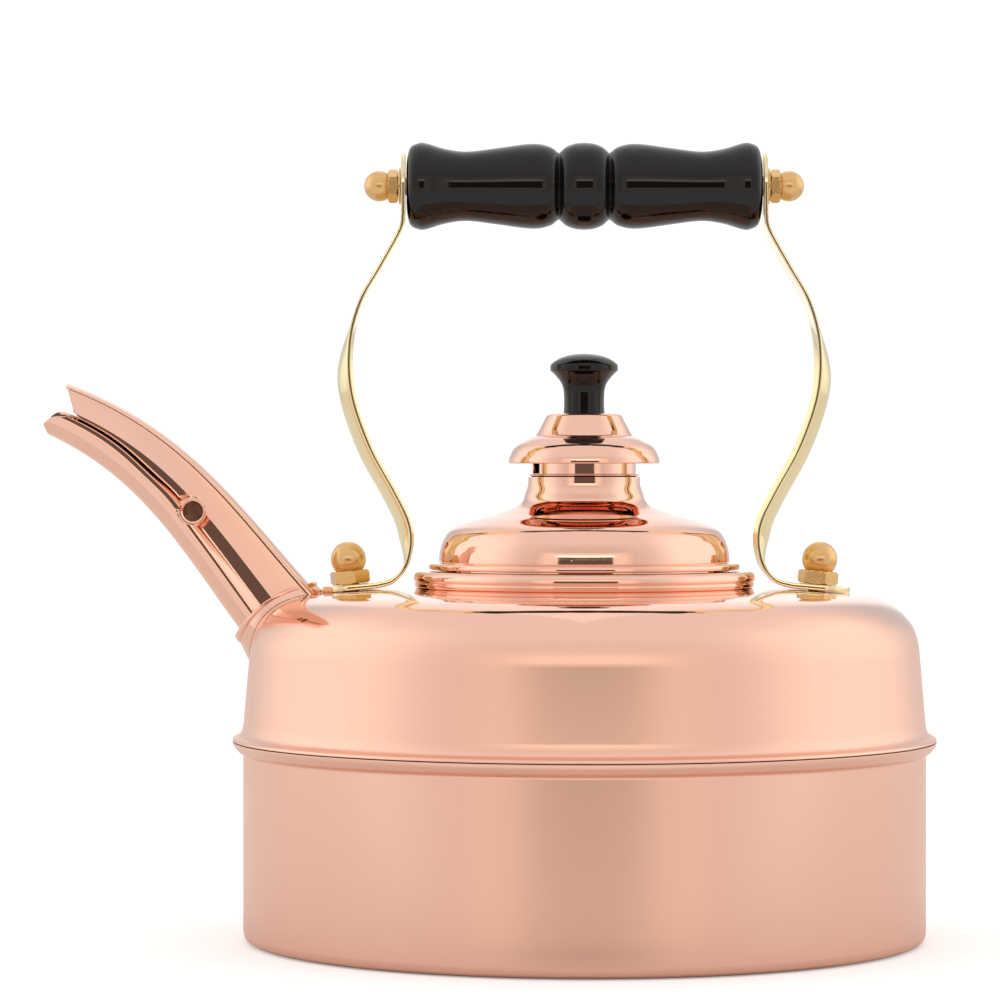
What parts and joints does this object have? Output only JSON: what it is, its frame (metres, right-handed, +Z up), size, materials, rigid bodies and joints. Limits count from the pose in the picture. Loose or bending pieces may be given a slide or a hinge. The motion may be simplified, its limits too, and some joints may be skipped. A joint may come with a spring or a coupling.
{
  "type": "stovetop whistling kettle",
  "caption": "Low round copper kettle with a folded seam, notched whistling spout, domed lid with a hooded steam vent, and a turned black grip between curved brass straps",
  "frame": {"origin": "centre of the flat base, on the surface the kettle stands on", "axes": "+Z up, -X towards the spout, the handle lies along X"},
  "size_m": [0.257, 0.203, 0.2299],
  "materials": {
    "satin_copper": "finely brushed and lacquered copper on the walls, mirror polish on the shoulder",
    "polished_copper": "mirror polished and lacquered copper",
    "polished_brass": "pale polished brass strip",
    "turned_brass": "satin brass with fine turning marks",
    "steel": "plain turned steel",
    "black_gloss": "black lacquered, high gloss, warm brown in thin reflections"
  },
  "bodies": {
    "kettle_body": {"lower_pan": "satin_copper", "upper_shell": "satin_copper", "neck_collar": "polished_copper", "spout_shell": "polished_copper", "spout_collar": "polished_copper", "whistle_tube": "polished_copper", "handle_strap_left": "polished_brass", "handle_strap_right": "polished_brass", "strap_stud_left": "turned_brass", "strap_stud_right": "turned_brass", "stud_washer_left": "steel", "stud_washer_right": "steel", "strap_ball_nut_left": "turned_brass", "strap_ball_nut_right": "turned_brass", "handle_washer_left": "turned_brass", "handle_washer_right": "turned_brass", "handle_ball_nut_left": "turned_brass", "handle_ball_nut_right": "turned_brass", "handle_rod": "steel"},
    "grip": {"handle_grip": "black_gloss"},
    "lid": {"lid_shell": "polished_copper", "lid_skirt": "polished_copper"},
    "vent_cap": {"vent_tube": "polished_copper", "vent_hood": "polished_copper", "lid_knob": "black_gloss", "knob_screw": "steel", "knob_washer": "steel"}
  },
  "joints": [
    {"name": "lid_lift", "type": "slide", "parent": "kettle_body", "child": "lid", "axis": [0, 0, 1], "range_m": [0, 0.03]},
    {"name": "cap_turn", "type": "hinge", "parent": "lid", "child": "vent_cap", "pos_m": [0, 0, 0.1333], "axis": [0, 0, 1], "continuous": true},
    {"name": "grip_spin", "type": "hinge", "parent": "kettle_body", "child": "grip", "pos_m": [0, 0, 0.2173], "axis": [1, 0, 0], "continuous": true}
  ]
}
